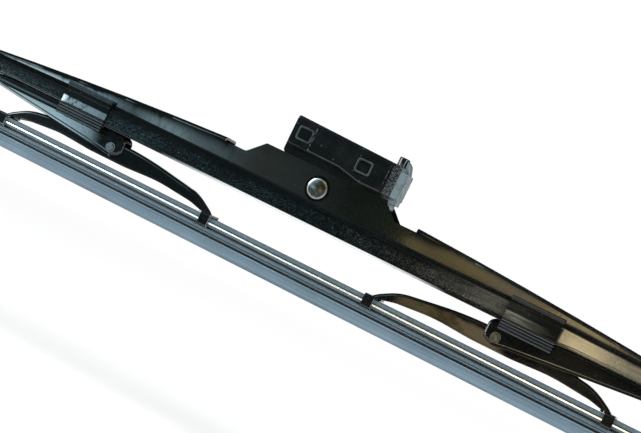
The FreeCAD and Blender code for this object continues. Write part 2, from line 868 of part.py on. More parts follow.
def adapter_nose():
    """Column at the right end: upper part, wide plate, narrow heel and foot between the walls."""
    wide_half = cover_half - 0.1
    levels = [
        (nose_top_reach, wide_half, nose_split_z, nose_top_z),
        (nose_reach, wide_half, nose_waist_z, nose_split_z),
        (nose_reach, nose_waist_half, nose_heel_z, nose_waist_z),
        (nose_foot_reach, nose_foot_half, nose_foot_z, nose_heel_z),
    ]
    solids = []
    for reach, half, z_from, z_to in levels:
        solids.append(plan_solid(nose_plan(reach, half), z_from, z_to))
    solids[0] = round_edges(solids[0], 0.4, lambda p: on_front(p, nose_top_z))
    solids[1] = round_edges(solids[1], 0.4, lambda p: on_front(p, nose_split_z))
    solids[3] = round_edges(solids[3], 0.5, lambda p: on_front(p, nose_foot_z))
    body = join(solids + [button_guard()])
    slots = []
    for side in (-1, 1):
        slots.append(box(
            cover_right_x + nose_reach - 0.9, cover_right_x + nose_reach + 1,
            side * nose_slot_y - nose_slot_width / 2, side * nose_slot_y + nose_slot_width / 2,
            nose_slot_z, nose_slot_z + nose_slot_height))
    return body.cut(slots)


def latch_button():
    """Push button whose waist lets the keyhole of the arm's tongue pass when it is pressed."""
    head = Part.makeCylinder(button_r, button_top_z - button_waist_top_z, Vector(button_x, 0, button_waist_top_z))
    head = round_edges(head, 0.5, lambda p: abs(p.z - button_top_z) < 0.01)
    waist = Part.makeCylinder(button_waist_r, button_waist_top_z - button_waist_foot_z,
                              Vector(button_x, 0, button_waist_foot_z))
    foot = Part.makeCylinder(button_r, button_waist_foot_z - button_foot_z, Vector(button_x, 0, button_foot_z))
    return join([head, waist, foot])


def moved(shape, x, z):
    copy = shape.copy()
    copy.translate(Vector(x, 0, z))
    return copy


def build_nodes():
    nodes = {
        "adapter_carrier": adapter_carrier(),
        "adapter_cover": adapter_cover(),
        "adapter_nose": adapter_nose(),
        "latch_button": latch_button(),
        "main_bridge": main_bridge(),
        "centre_rivet": centre_rivet(),
        "left_guide_clip": guide_clip(left_clip_x - clip_length),
        "right_guide_clip": guide_clip(right_clip_x),
        "wiping_rubber": wiping_rubber(),
        "front_spline": front_spline(),
        "back_spline": mirror_y(front_spline()),
    }
    lever_shape = lever()
    yoke_shape = yoke()
    bush = lever_bush()
    lever_rivet = small_rivet(lever_rivet_r, lever_head_r, bridge_half + band_step)
    yoke_rivet = small_rivet(yoke_rivet_r, yoke_head_r, lever_half)
    for side, name in ((-1, "left"), (1, "right")):
        pivot_x = side * lever_pivot_x
        nodes[name + "_lever"] = moved(lever_shape, pivot_x, 0)
        nodes[name + "_lever_rivet"] = moved(lever_rivet, pivot_x, lever_pivot_z)
        nodes[name + "_front_bush"] = moved(mirror_y(bush), pivot_x, lever_pivot_z)
        nodes[name + "_back_bush"] = moved(bush, pivot_x, lever_pivot_z)
        for way, place in ((-1, "inner"), (1, "outer")):
            yoke_x = pivot_x + side * way * yoke_reach
            nodes[name + "_" + place + "_yoke"] = moved(yoke_shape, yoke_x, 0)
            nodes[name + "_" + place + "_rivet"] = moved(yoke_rivet, yoke_x, yoke_pivot_z)
    return nodes


def write_nodes(nodes):
    os.makedirs("parts", exist_ok=True)
    for name, shape in nodes.items():
        shape = shape.copy()
        shape.translate(Vector(0, 0, -seat_z))
        shape.exportStep(os.path.join("parts", name + ".step"))
        box_size = shape.BoundBox
        print(name, "valid", shape.isValid(), "solids", len(shape.Solids),
              "volume", round(shape.Volume, 1),
              "size", round(box_size.XLength, 1), round(box_size.YLength, 1), round(box_size.ZLength, 1))


write_nodes(build_nodes())
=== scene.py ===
import json
import math
import bmesh
import bpy
from mathutils import Matrix, Vector


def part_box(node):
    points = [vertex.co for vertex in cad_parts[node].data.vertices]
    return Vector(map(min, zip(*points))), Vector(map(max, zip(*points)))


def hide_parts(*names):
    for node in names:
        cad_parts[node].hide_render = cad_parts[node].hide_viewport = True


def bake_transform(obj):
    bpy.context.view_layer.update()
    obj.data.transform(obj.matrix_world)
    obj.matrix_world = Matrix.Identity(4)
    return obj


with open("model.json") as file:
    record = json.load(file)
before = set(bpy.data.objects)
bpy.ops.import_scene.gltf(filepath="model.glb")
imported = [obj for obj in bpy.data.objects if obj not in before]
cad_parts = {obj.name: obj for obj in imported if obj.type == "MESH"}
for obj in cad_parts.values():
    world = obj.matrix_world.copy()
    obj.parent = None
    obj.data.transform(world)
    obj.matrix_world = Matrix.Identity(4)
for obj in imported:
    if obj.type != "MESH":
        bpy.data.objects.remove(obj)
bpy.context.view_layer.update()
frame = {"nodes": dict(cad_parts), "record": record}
nodes = frame["nodes"]
MM = 0.001

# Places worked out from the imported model, in metres
rubber_low, rubber_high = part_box("wiping_rubber")
rivet_low, rivet_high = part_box("centre_rivet")
rivet_z = (rivet_low[2] + rivet_high[2]) / 2
rivet_head_r = (rivet_high[2] - rivet_low[2]) / 2
bridge_low, bridge_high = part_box("main_bridge")
cover_low, cover_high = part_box("adapter_cover")
rubber_end_x = rubber_high[0]
strip_foot_z = rubber_low[2]
lever_pivot_x = sum(point[0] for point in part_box("right_lever_rivet")) / 2
inner_yoke_x = sum(point[0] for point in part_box("right_inner_rivet")) / 2
outer_yoke_x = sum(point[0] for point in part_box("right_outer_rivet")) / 2
inner_yoke_low, inner_yoke_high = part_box("right_inner_yoke")
lever_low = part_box("right_lever")[0]
clip_low, clip_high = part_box("right_guide_clip")
claw_x = inner_yoke_high[0] - inner_yoke_x
inner_claw_x = inner_yoke_x - claw_x
middle_claw_x = inner_yoke_x + claw_x
outer_claw_x = outer_yoke_x - claw_x


# Camera, as the photograph was taken: nearly level, to the right of the middle, rolled
IMAGE_WIDTH = 641.0
FOCAL_PIXELS = 1506.6
CAMERA_YAW = math.radians(16.82)
CAMERA_ELEVATION = math.radians(-0.1)
CAMERA_ROLL = math.radians(25.98)
CAMERA_DISTANCE = 0.6049
CAMERA_TARGET = Vector((0.0044, 0.0, -0.0222))


def make_camera():
    forward = Vector((-math.sin(CAMERA_YAW) * math.cos(CAMERA_ELEVATION),
                      math.cos(CAMERA_YAW) * math.cos(CAMERA_ELEVATION),
                      -math.sin(CAMERA_ELEVATION)))
    level_right = Vector((math.cos(CAMERA_YAW), math.sin(CAMERA_YAW), 0.0))
    level_up = level_right.cross(forward)
    right = math.cos(CAMERA_ROLL) * level_right + math.sin(CAMERA_ROLL) * level_up
    up = math.cos(CAMERA_ROLL) * level_up - math.sin(CAMERA_ROLL) * level_right
    data = bpy.data.cameras.new("camera")
    data.sensor_width = 36.0
    data.lens = FOCAL_PIXELS / IMAGE_WIDTH * data.sensor_width
    data.clip_start = 0.01
    data.clip_end = 40.0
    camera = bpy.data.objects.new("camera", data)
    bpy.context.scene.collection.objects.link(camera)
    turn = Matrix((right, up, -forward)).transposed()
    camera.matrix_world = Matrix.Translation(CAMERA_TARGET - forward * CAMERA_DISTANCE) @ turn.to_4x4()
    bpy.context.scene.camera = camera


class Finish:
    """Node material of one finish, with short calls for the patterns it is made of."""

    def __init__(self, name, coordinates="object"):
        self.material = bpy.data.materials.new(name)
        self.material.use_nodes = True
        self.tree = self.material.node_tree
        self.shader = self.tree.nodes["Principled BSDF"]
        places = self.tree.nodes.new("ShaderNodeTexCoord").outputs
        if coordinates == "object":
            self.point = places["Object"]
        else:
            attribute = self.tree.nodes.new("ShaderNodeAttribute")
            attribute.attribute_name = coordinates
            self.point = attribute.outputs["Vector"]
        split = self.add("ShaderNodeSeparateXYZ", {0: self.point})
        self.x, self.y, self.z = split.outputs
        facing = self.add("ShaderNodeSeparateXYZ", {0: places["Normal"]}).outputs[0]
        self.end_on = self.calc("ABSOLUTE", facing)

    def add(self, kind, inputs, **settings):
        node = self.tree.nodes.new(kind)
        for key, value in settings.items():
            setattr(node, key, value)
        for key, value in inputs.items():
            self.feed(node.inputs[key], value)
        return node

    def feed(self, socket, value):
        if isinstance(value, bpy.types.NodeSocket):
            self.tree.links.new(value, socket)
        elif isinstance(value, tuple) and len(value) == 3 and len(socket.default_value) == 4:
            socket.default_value = (*value, 1.0)
        else:
            socket.default_value = value

    def calc(self, operation, first, second=0.0):
        return self.add("ShaderNodeMath", {0: first, 1: second}, operation=operation).outputs[0]

    def off(self, value, place):
        """How far the value is from the place, to either side."""
        return self.calc("ABSOLUTE", self.calc("SUBTRACT", value, place))

    def from_rivet(self):
        """Distance from the centre rivet's axis."""
        across = {0: self.x, 2: self.calc("SUBTRACT", self.z, rivet_z)}
        place = self.add("ShaderNodeCombineXYZ", across).outputs[0]
        return self.add("ShaderNodeVectorMath", {0: place}, operation="LENGTH").outputs["Value"]

    def stretched(self, size, stretch):
        """Coordinates with units of size, in metres, drawn out along each axis by stretch."""
        scale = tuple(1.0 / (size * factor) for factor in stretch)
        return self.add("ShaderNodeMapping", {"Vector": self.point, "Scale": scale}).outputs[0]

    def noise(self, size, detail=2.0, stretch=(1, 1, 1), roughness=0.5):
        """Soft noise with patches about as large as size, in metres."""
        inputs = {"Vector": self.stretched(size, stretch), "Scale": 1.0, "Detail": detail, "Roughness": roughness}
        return self.add("ShaderNodeTexNoise", inputs).outputs[0]

    def voronoi(self, size, stretch):
        return self.add("ShaderNodeTexVoronoi", {"Vector": self.stretched(size, stretch), "Scale": 1.0}).outputs

    def dots(self, spacing, size, stretch=(1, 1, 1)):
        """Scattered dots: 1 on a dot and 0 elsewhere."""
        return self.between(self.voronoi(spacing, stretch)["Distance"], size, size * 0.6)

    def cells(self, size, stretch=(1, 1, 1)):
        """Small cells, each with a random level of its own."""
        return self.add("ShaderNodeSeparateXYZ", {0: self.voronoi(size, stretch)["Color"]}).outputs[0]

    def between(self, value, start, end, low=0.0, high=1.0):
        """The value's place from start to end, as a number from low to high."""
        inputs = {0: value, 1: start, 2: end, 3: low, 4: high}
        return self.add("ShaderNodeMapRange", inputs).outputs[0]

    def eased(self, value, start, end, low=0.0, high=1.0):
        """As between, with a soft start and end."""
        inputs = {0: value, 1: start, 2: end, 3: low, 4: high}
        return self.add("ShaderNodeMapRange", inputs, interpolation_type="SMOOTHSTEP").outputs[0]

    def product(self, *values):
        result = values[0]
        for value in values[1:]:
            result = self.calc("MULTIPLY", result, value)
        return result

    def total(self, *values):
        result = values[0]
        for value in values[1:]:
            result = self.calc("ADD", result, value)
        return result

    def mix(self, factor, first, second):
        node = self.add("ShaderNodeMix", {0: factor, 6: first, 7: second}, data_type="RGBA")
        return node.outputs[2]

    def bump(self, height, distance, below=None):
        inputs = {"Height": height, "Distance": distance, "Strength": 1.0}
        if below is not None:
            inputs["Normal"] = below
        return self.add("ShaderNodeBump", inputs).outputs[0]

    def leaning(self, tilt, below, most=0.15):
        """Normal turned upwards on side walls by tilt, in radians."""
        tilt = self.calc("MINIMUM", tilt, most)
        push = self.add("ShaderNodeCombineXYZ", {2: tilt}).outputs[0]
        turned = self.add("ShaderNodeVectorMath", {0: below, 1: push}, operation="ADD").outputs[0]
        return self.add("ShaderNodeVectorMath", {0: turned}, operation="NORMALIZE").outputs[0]

    def show(self, shader):
        """Give the surface another shader than the plain one."""
        self.tree.links.new(shader, self.tree.nodes["Material Output"].inputs["Surface"])

    def finish(self, **inputs):
        for key, value in inputs.items():
            self.feed(self.shader.inputs[key.replace("_", " ")], value)
        return self.material


# Finishes: colours, and the heights and places along the blade where they change

BLACK = (0.0022, 0.0028, 0.0029)
# Dust colours, tinted cool on the left and warm on the right as a painted reflection
COOL_DUST_REFLECTION_TINT = (0.10, 0.19, 0.22)
WARM_DUST_REFLECTION_TINT = (0.20, 0.20, 0.165)
# Warm film towards the right, whose tint is a painted reflection
FILM_DUST_REFLECTION_TINT = (0.22, 0.21, 0.165)
# Pale colour of the painted highlight on the bridge's hem
HEM_HIGHLIGHT_PALE = (0.66, 0.68, 0.68)
# Pale colour of the sheet's cut ends: paint wear and a painted highlight
RUBBED_PAINT_AND_HIGHLIGHT = (0.34, 0.37, 0.38)
SHEET_DUST = 0.25
SHEET_WEAR_AND_HIGHLIGHT = 0.7
BRIDGE_WEAR_AND_HIGHLIGHT = 0.08
HEM_TILT = 0.4
STEP_TILT = 0.6
HEM_HEIGHT = 0.9 * MM
HEM_ROLL = 1.8 * MM
HEM_HIGHLIGHT_X = 55 * MM
WEB_CUT_X = 44.2 * MM
KNEE_X = 114.4 * MM
KNEE_Z = -14.0 * MM
TIP_Z = -21.0 * MM
BRIDGE_WEB_Z = -9.7 * MM
CLIP_RAIL = 5.1 * MM
RAIL_LINES = 4
RAIL_LINE_STEP = 1.15 * MM
# Middles and half sizes of the two raised frames on the cover's sides
FRAMES = [(-14.3 * MM, 4.6 * MM), (13.6 * MM, 2.9 * MM)]
FRAME_HALF_X = 3.1 * MM
FRAME_HALF_Z = 2.6 * MM
FRAME_CORNER = 1.8 * MM
FRAME_RIM = 0.5 * MM
PAD_END_X = -10.4 * MM
COVER_SEAM_Z = -0.9 * MM
RIB_X = 23.6 * MM
# Recessed stretches of the rubber's side, painted in shade, as depths below its top: from, to
GROOVES = [(1.3 * MM, 1.75 * MM), (3.5 * MM, 4.5 * MM), (5.75 * MM, 6.1 * MM), (6.9 * MM, 7.7 * MM)]
# Blue-grey rubber colours: a painted sheen on black rubber
RUBBER_DARK = (0.098, 0.153, 0.195)
RUBBER_PALE = (0.160, 0.242, 0.306)
RUBBER_TIP = (0.08, 0.11, 0.14)
RUBBER_HEAD = (0.045, 0.07, 0.088)
RUBBER_HATCH = (0.02, 0.033, 0.04)
RUBBER_GROOVE_SHADE = (0.004, 0.008, 0.012)
LINT = (0.35, 0.37, 0.38)
BAND_KNEE_X = 110 * MM
BAND_DROP = 2.0 * MM
band_top_z = bridge_low[2] + 9.7 * MM
hem_foot_z = bridge_low[2] + 1.0 * MM


def paint_marks(finish, amount):
    """Dust grains and specks of used paint, and the normal of its uneven surface."""
    peel = finish.noise(1.3 * MM, 2.0)
    panel = finish.noise(7 * MM, 2.0, (5, 1, 1))
    grain = finish.between(finish.cells(0.3 * MM, (1.3, 1, 1)), 0.45, 1.0)
    specks = finish.dots(3.4 * MM, 0.075)
    fine_specks = finish.dots(1.3 * MM, 0.11)
    here = finish.eased(finish.noise(9 * MM, 3.0, (3, 1, 1)), 0.38, 0.64)
    marks = finish.product(amount, finish.total(
        finish.product(grain, finish.between(here, 0.0, 1.0, 0.09, 0.24)), finish.product(specks, 0.6),
        finish.product(fine_specks, here, 0.3)))
    relief = finish.total(finish.product(peel, 0.006 * MM), finish.product(panel, 0.035 * MM),
                          finish.product(grain, 0.0005 * MM))
    marks = finish.total(marks, finish.product(amount, finish.noise(1.6 * MM, 5.0, (2, 1, 1), 0.7), 0.015))
    return finish.calc("MINIMUM", marks, 1.0), finish.bump(relief, 1.0)


def dusted_with_reflection_tint(finish, marks):
    """Dust on black paint, its colour cool on the left and warm on the right as a painted reflection tint."""
    dust_and_reflection_tint = finish.mix(finish.eased(finish.x, -5 * MM, 60 * MM), COOL_DUST_REFLECTION_TINT, WARM_DUST_REFLECTION_TINT)
    return finish.mix(marks, BLACK, dust_and_reflection_tint)


def worn_and_highlit_ends(finish, colour, most, below_z=None):
    """Paint gone from the cut ends of the sheet, which face along the blade: partly wear and partly a painted
    highlight.
    """
    # Ends facing along the blade are made pale, partly as wear and partly as a painted highlight
    rubbed_and_highlit = finish.product(finish.eased(finish.end_on, 0.8, 0.97),
                            finish.eased(finish.noise(1.2 * MM, 3.0), 0.35, 0.6, 0.25 * most, most))
    if below_z:
        rubbed_and_highlit = finish.product(rubbed_and_highlit, finish.between(finish.z, below_z, below_z - 0.3 * MM))
    return finish.mix(rubbed_and_highlit, colour, RUBBED_PAINT_AND_HIGHLIGHT)


def black_paint(name, foot_z, height, low_tilt, high_tilt, patchy=0.0, dark_from=None, dark_beyond=None,
                shaded_z=None, worn_and_highlit_below_z=None):
    """Gloss black paint, whose shading leans up between a sheet's foot and its top.

    It leans further in patches, by dark_from away from the yokes' pivots, to the right of
    dark_beyond and above shaded_z, which makes these parts darker. A pale line above shaded_z is
    a painted reflection of the bridge's hem.
    """
    finish = Finish(name)
    marks, normal = paint_marks(finish, SHEET_DUST)
    tilt = finish.eased(finish.z, foot_z, foot_z + height, low_tilt, high_tilt)
    if patchy:
        patches = finish.eased(finish.noise(7 * MM, 3.0, (2, 1, 1)), 0.42, 0.62)
        tilt = finish.total(tilt, finish.product(patches, patchy))
    if dark_from:
        from_pivot = finish.calc("MINIMUM", *(
            finish.off(finish.calc("ABSOLUTE", finish.x), pivot_x) for pivot_x in (inner_yoke_x, outer_yoke_x)))
        tilt = finish.total(tilt, finish.eased(from_pivot, dark_from, claw_x - 6 * MM, 0.0, 0.11))
    if dark_beyond:
        tilt = finish.total(tilt, finish.eased(finish.x, dark_beyond, dark_beyond + 9 * MM, 0.0, 0.07))
    if shaded_z:
        shaded = finish.between(finish.z, shaded_z - 0.2 * MM, shaded_z)
        # Pale line above the shaded strip: a painted reflection of the bridge's hem
        line = finish.between(finish.off(finish.z, shaded_z + 1.3 * MM), 0.6 * MM, 0.2 * MM)
        marks = finish.total(marks, finish.product(line, finish.eased(finish.x, -100 * MM, -108 * MM), 0.35))
        tilt = finish.total(tilt, finish.product(shaded, 0.3))
    normal = finish.leaning(tilt, normal)
    rough = finish.total(finish.between(finish.noise(15 * MM, 3.0), 0.3, 0.7, 0.05, 0.09),
                         finish.product(marks, 0.35))
    colour = worn_and_highlit_ends(finish, dusted_with_reflection_tint(finish, marks), SHEET_WEAR_AND_HIGHLIGHT, worn_and_highlit_below_z)
    return finish.finish(Base_Color=colour, Roughness=rough, Normal=normal)


def bridge_paint():
    """Black paint: walls that lean in patches, a dusty band and a painted highlight along the hem at the middle and
    the left end.
    """
    finish = Finish("bridge_paint")
    away = finish.calc("ABSOLUTE", finish.x)
    line_z = finish.between(away, BAND_KNEE_X, bridge_high[0], band_top_z, band_top_z - BAND_DROP)
    above_line = finish.calc("SUBTRACT", finish.z, line_z)
    top_z = finish.total(finish.between(away, WEB_CUT_X, KNEE_X, BRIDGE_WEB_Z, KNEE_Z),
                         finish.between(away, KNEE_X, bridge_high[0], 0.0, TIP_Z - KNEE_Z))
    share = finish.calc("DIVIDE", above_line, finish.calc("SUBTRACT", top_z, line_z))
    on_band = finish.between(above_line, 0.0, -0.5 * MM)
    cloud = finish.noise(18 * MM, 3.0)

    # Dust lies on the band's lower part, and as a film towards its right end, whose warm tint is a painted reflection
    streaks = finish.total(finish.noise(0.9 * MM, 3.0, (14, 1, 1)), finish.noise(5 * MM, 5.0, (2, 1, 1), 0.7), -0.5)
    streaks = finish.between(streaks, 0.3, 0.7, 0.4, 1.4)
    above_hem = finish.between(finish.z, hem_foot_z + HEM_ROLL, hem_foot_z + HEM_ROLL + 0.3 * MM)
    film = finish.product(finish.between(above_line, -0.3 * MM, -1.0 * MM), above_hem, streaks,
                          finish.eased(finish.x, 50 * MM, 96 * MM, 0.0, 0.22))
    dusty = finish.product(finish.between(above_line, -1.4 * MM, -3.4 * MM),
                           finish.between(above_line, -8.6 * MM, -6.6 * MM))
    spread = finish.total(finish.eased(finish.x, -50 * MM, -85 * MM, 0.6, 1.1),
                          finish.eased(finish.x, 35 * MM, 70 * MM, 0.0, 0.4))
    marks, normal = paint_marks(finish, finish.total(finish.product(dusty, spread), 0.12, film))
    # Painted glint: a golden sparkle just above the band's step, towards the right end
    painted_step_glint = finish.product(finish.between(above_line, 0.0, 0.3 * MM), finish.eased(finish.x, 42 * MM, 62 * MM),
                          finish.cells(0.45 * MM, (1.4, 1, 1)), 0.035)
    painted = finish.mix(finish.total(film, painted_step_glint), dusted_with_reflection_tint(finish, marks), FILM_DUST_REFLECTION_TINT)
    painted = worn_and_highlit_ends(finish, painted, BRIDGE_WEAR_AND_HIGHLIGHT)
    # Painted highlight: the hem's lower edge is made pale at the middle and at the left end
    hem_highlight_edge = finish.between(finish.z, hem_foot_z + HEM_HEIGHT, hem_foot_z + HEM_HEIGHT * 0.7)
    hem_highlight_here = finish.between(finish.total(away, finish.product(cloud, 30 * MM)),
                               HEM_HIGHLIGHT_X + 25 * MM, HEM_HIGHLIGHT_X - 5 * MM)
    hem_highlight_here = finish.calc("MAXIMUM", hem_highlight_here, finish.eased(finish.x, -98 * MM, -108 * MM))
    colour = finish.mix(finish.product(hem_highlight_edge, hem_highlight_here), painted, HEM_HIGHLIGHT_PALE)
    rough = finish.total(finish.between(cloud, 0.3, 0.7, 0.035, 0.06), finish.product(marks, 0.35))

    # How far each part of the walls turns up, away from what stands in front
    outer = finish.eased(away, WEB_CUT_X - 9 * MM, WEB_CUT_X + 1 * MM)
    right_wall = finish.eased(finish.x, 48 * MM, 62 * MM)
    upper = finish.product(outer, finish.eased(finish.total(share, finish.product(right_wall, -0.3)), 0.28, 1.0))
    left_end = finish.product(finish.eased(finish.x, -96 * MM, -108 * MM), finish.eased(share, 0.08, 0.75))
    left_patches = finish.product(finish.eased(finish.noise(6 * MM, 3.0, (1, 1, 2.5)), 0.50, 0.66),
                                  finish.between(finish.x, -25 * MM, -45 * MM))
    right_lower = finish.product(finish.eased(share, 0.5, 0.05), finish.eased(finish.x, 48 * MM, 74 * MM))
    gold_dim = finish.between(finish.x, clip_high[0] - 6 * MM, clip_high[0] + 4 * MM)
    ring = finish.eased(finish.from_rivet(), rivet_head_r + 1.3 * MM, rivet_head_r + 0.5 * MM)
    step = finish.eased(above_line, finish.eased(finish.x, 20 * MM, 50 * MM, 0.8 * MM, 1.7 * MM), 0.1 * MM)
    hem = finish.product(finish.between(above_hem, 1.0, 0.0), finish.eased(finish.x, 20 * MM, 40 * MM))
    tilt = finish.total(finish.product(upper, 0.075), finish.product(left_patches, 0.025), 0.010,
                        finish.product(right_lower, 0.030), finish.product(gold_dim, 0.035),
                        finish.product(left_end, 0.035), finish.product(right_wall, upper, 0.06),
                        finish.product(ring, 0.12), finish.product(step, 0.08))
    tilt = finish.product(tilt, finish.between(above_line, 0.0, 0.3 * MM))
    gold_end = finish.between(finish.x, clip_high[0] + 1.0 * MM, clip_high[0])
    band_tilt = finish.product(on_band, finish.between(gold_end, 0.0, 1.0, 0.02, 0.13))
    normal = finish.leaning(finish.total(tilt, band_tilt), normal)
    step_line = finish.between(finish.calc("ABSOLUTE", above_line), 1.0 * MM, 0.95 * MM)
    hem_and_step = finish.total(finish.product(hem, HEM_TILT), finish.product(step_line, STEP_TILT))
    normal = finish.leaning(hem_and_step, normal, most=STEP_TILT)
    return finish.finish(Base_Color=colour, Roughness=rough, Normal=normal)


def steel(name, colour, dark, roughness):
    """Brushed steel with darker stains and pits."""
    finish = Finish(name)
    stain = finish.between(finish.noise(1.6 * MM, 4.0), 0.4, 0.7)
    brushed = finish.noise(0.12 * MM, 2.0, (1, 1, 6))
    pits = finish.dots(0.9 * MM, 0.16)
    shade = finish.mix(finish.product(stain, 0.7), colour, dark)
    shade = finish.mix(finish.product(pits, 0.5), shade, dark)
    rough = finish.between(finish.noise(0.8 * MM, 3.0), 0.3, 0.7, *roughness)
    normal = finish.bump(finish.total(brushed, finish.product(pits, -1.0)), 0.0015 * MM)
    return finish.finish(Base_Color=shade, Metallic=1.0, Roughness=rough, Normal=normal)


def rivet_steel():
    """Domed steel head, dull and dark at its middle, with a painted highlight round its rim."""
    finish = Finish("rivet_steel")
    stain = finish.noise(1.5 * MM, 4.0)
    # Pale rim of the head: a painted highlight
    rim = finish.eased(finish.total(finish.from_rivet(), finish.product(stain, 0.8 * MM)),
                       rivet_head_r - 0.6 * MM, rivet_head_r + 0.2 * MM)
    colour = finish.mix(finish.between(stain, 0.35, 0.65), (0.028, 0.032, 0.031), (0.06, 0.066, 0.066))
    colour = finish.mix(rim, colour, (0.3, 0.32, 0.31))
    colour = finish.mix(finish.dots(0.9 * MM, 0.12), colour, (0.3, 0.31, 0.31))
    rough = finish.between(stain, 0.3, 0.7, 0.22, 0.32)
    relief = finish.total(finish.product(stain, 0.012 * MM), finish.product(finish.noise(0.3 * MM), 0.002 * MM))
    return finish.finish(Base_Color=colour, Metallic=1.0, Roughness=rough, Normal=finish.bump(relief, 1.0))


def ring_mark(finish, middle_x, middle_z, half_x, half_z, width):
    """1 along a rounded rectangle on the side wall, and 0 elsewhere."""
    from_x = finish.calc("SUBTRACT", finish.off(finish.x, middle_x), half_x)
    from_z = finish.calc("SUBTRACT", finish.off(finish.z, middle_z), half_z)
    outside = {0: from_x, 1: from_z, 2: FRAME_CORNER}
    edge = finish.calc("ABSOLUTE", finish.add("ShaderNodeMath", outside, operation="SMOOTH_MAX").outputs[0])
    return finish.between(edge, width, width * 0.4)


def adapter_plastic():
    """Black moulded plastic with pale edge lines, partly wear and partly painted highlight, and a rougher pale strip
    near its right end.
    """
    finish = Finish("adapter_plastic")
    grain = finish.noise(0.5 * MM, 4.0, roughness=0.7)
    cloud = finish.noise(6 * MM, 4.0)
    broken = finish.eased(finish.noise(2.2 * MM, 3.0), 0.3, 0.6, 0.45, 1.0)
    specks = finish.dots(2.3 * MM, 0.08)
    fine_specks = finish.between(finish.cells(0.42 * MM), 0.5, 1.0)
    strip = finish.product(finish.eased(finish.x, RIB_X + 0.8 * MM, RIB_X + 1.6 * MM),
                           finish.between(finish.z, cover_high[2] + 0.1 * MM, cover_high[2] - 0.1 * MM))
    marks = finish.total(finish.product(specks, 0.7), finish.product(strip, fine_specks, 0.3),
                         finish.product(finish.between(grain, 0.5, 0.8), finish.between(cloud, 0.4, 0.7, 0.05, 0.16)))
    # Pale lines along the raised frames' rims: partly wear and partly a painted edge highlight
    for middle_x, middle_z in FRAMES:
        rim = ring_mark(finish, middle_x, middle_z, FRAME_HALF_X, FRAME_HALF_Z, FRAME_RIM)
        marks = finish.total(marks, finish.product(rim, broken, 0.25))
    on_cover = finish.between(finish.z, COVER_SEAM_Z - 0.6 * MM, COVER_SEAM_Z)
    # Pale lines at the pad's end and along the rib: partly wear and partly a painted highlight
    for edge_x, strength in ((PAD_END_X, 0.35), (RIB_X, 0.3)):
        line = finish.between(finish.off(finish.x, edge_x), 0.28 * MM, 0.1 * MM)
        line_gaps = finish.eased(finish.noise(1.5 * MM, 3.0), 0.4, 0.6)
        marks = finish.total(marks, finish.product(line, on_cover, line_gaps, strength))
    colour = finish.mix(finish.calc("MINIMUM", marks, 1.0), (0.0026, 0.0042, 0.0046), (0.2, 0.24, 0.25))
    rough = finish.total(finish.between(cloud, 0.3, 0.7, 0.10, 0.17), finish.product(strip, 0.12))
    relief = finish.total(finish.product(grain, 0.012 * MM), finish.product(fine_specks, strip, 0.03 * MM),
                          finish.product(finish.noise(8 * MM, 2.0), 0.12 * MM))
    normal = finish.bump(relief, 1.0)
    tilt = finish.total(finish.between(finish.z, cover_low[2], cover_high[2], 0.07, 0.12),
                        finish.between(finish.x, -5 * MM, -12 * MM, 0.0, 0.05))
    return finish.finish(Base_Color=colour, Roughness=rough, Normal=finish.leaning(tilt, normal))


def nose_plastic():
    """Pale blue-grey moulded plastic with a matt grain."""
    finish = Finish("nose_plastic")
    grain = finish.noise(0.3 * MM, 3.0)
    cloud = finish.noise(3 * MM, 4.0)
    soot = finish.between(finish.total(cloud, finish.product(finish.dots(1.1 * MM, 0.2), 0.12)), 0.48, 0.72)
    colour = finish.mix(soot, (0.098, 0.143, 0.158), (0.045, 0.063, 0.07))
    rough = finish.between(cloud, 0.3, 0.7, 0.36, 0.5)
    return finish.finish(Base_Color=colour, Roughness=rough, Normal=finish.bump(grain, 0.02 * MM))


def rail_highlight_lines(finish, first_z):
    """Painted highlight lines along the clip's lower rail, one above the other."""
    return finish.total(*(
        finish.between(finish.off(finish.z, first_z + number * RAIL_LINE_STEP), 0.35 * MM, 0.12 * MM)
        for number in range(RAIL_LINES)))


